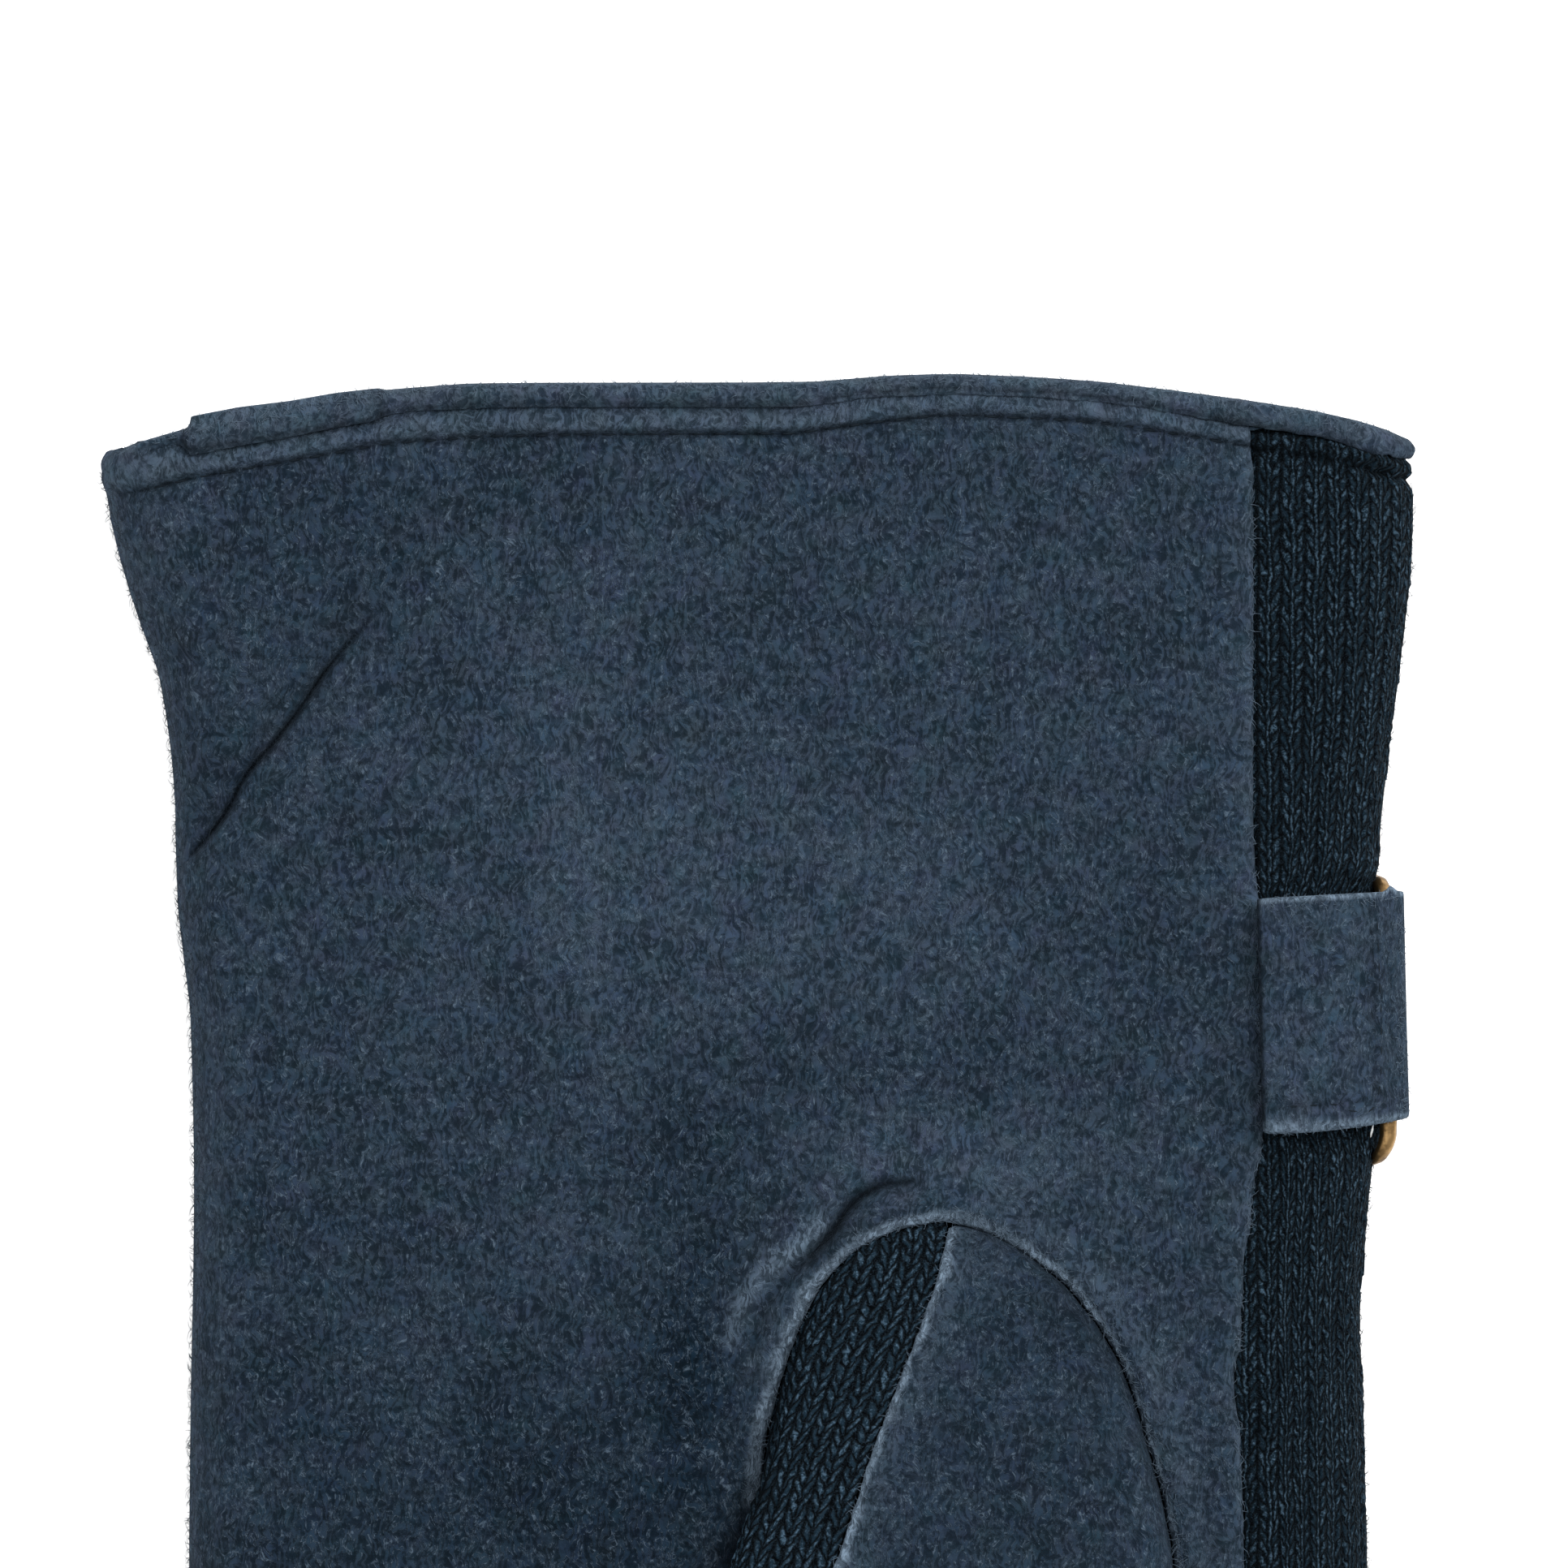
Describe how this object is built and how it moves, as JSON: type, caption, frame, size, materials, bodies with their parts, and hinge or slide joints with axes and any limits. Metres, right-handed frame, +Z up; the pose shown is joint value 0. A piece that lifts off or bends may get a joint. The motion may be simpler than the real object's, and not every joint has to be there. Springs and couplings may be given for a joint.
{
  "type": "suede glove",
  "caption": "Left-hand dress glove lying palm up: suede palm, knit back and finger sides, bound cuff, thumb folded over the palm, wrist tab with an oblong ring.",
  "frame": {"origin": "middle of the glove's outline at the surface that it lies on", "axes": "+Z up from the back of the hand to the palm, +Y from the fingertips to the cuff, +X to the thumb side"},
  "size_m": [0.1063, 0.241, 0.026],
  "materials": {
    "suede": "soft napped navy suede",
    "knit": "fuzzy blue-black stockinette knit",
    "brass": "antique brass"
  },
  "bodies": {
    "root": {"palm_panel": "suede", "back_panel": "knit", "finger_side_1": "knit", "finger_side_2": "knit", "finger_side_3": "knit", "cuff_binding": "suede", "thumb_front": "suede", "thumb_back": "knit", "wrist_tab": "suede", "ring": "brass"}
  },
  "joints": []
}
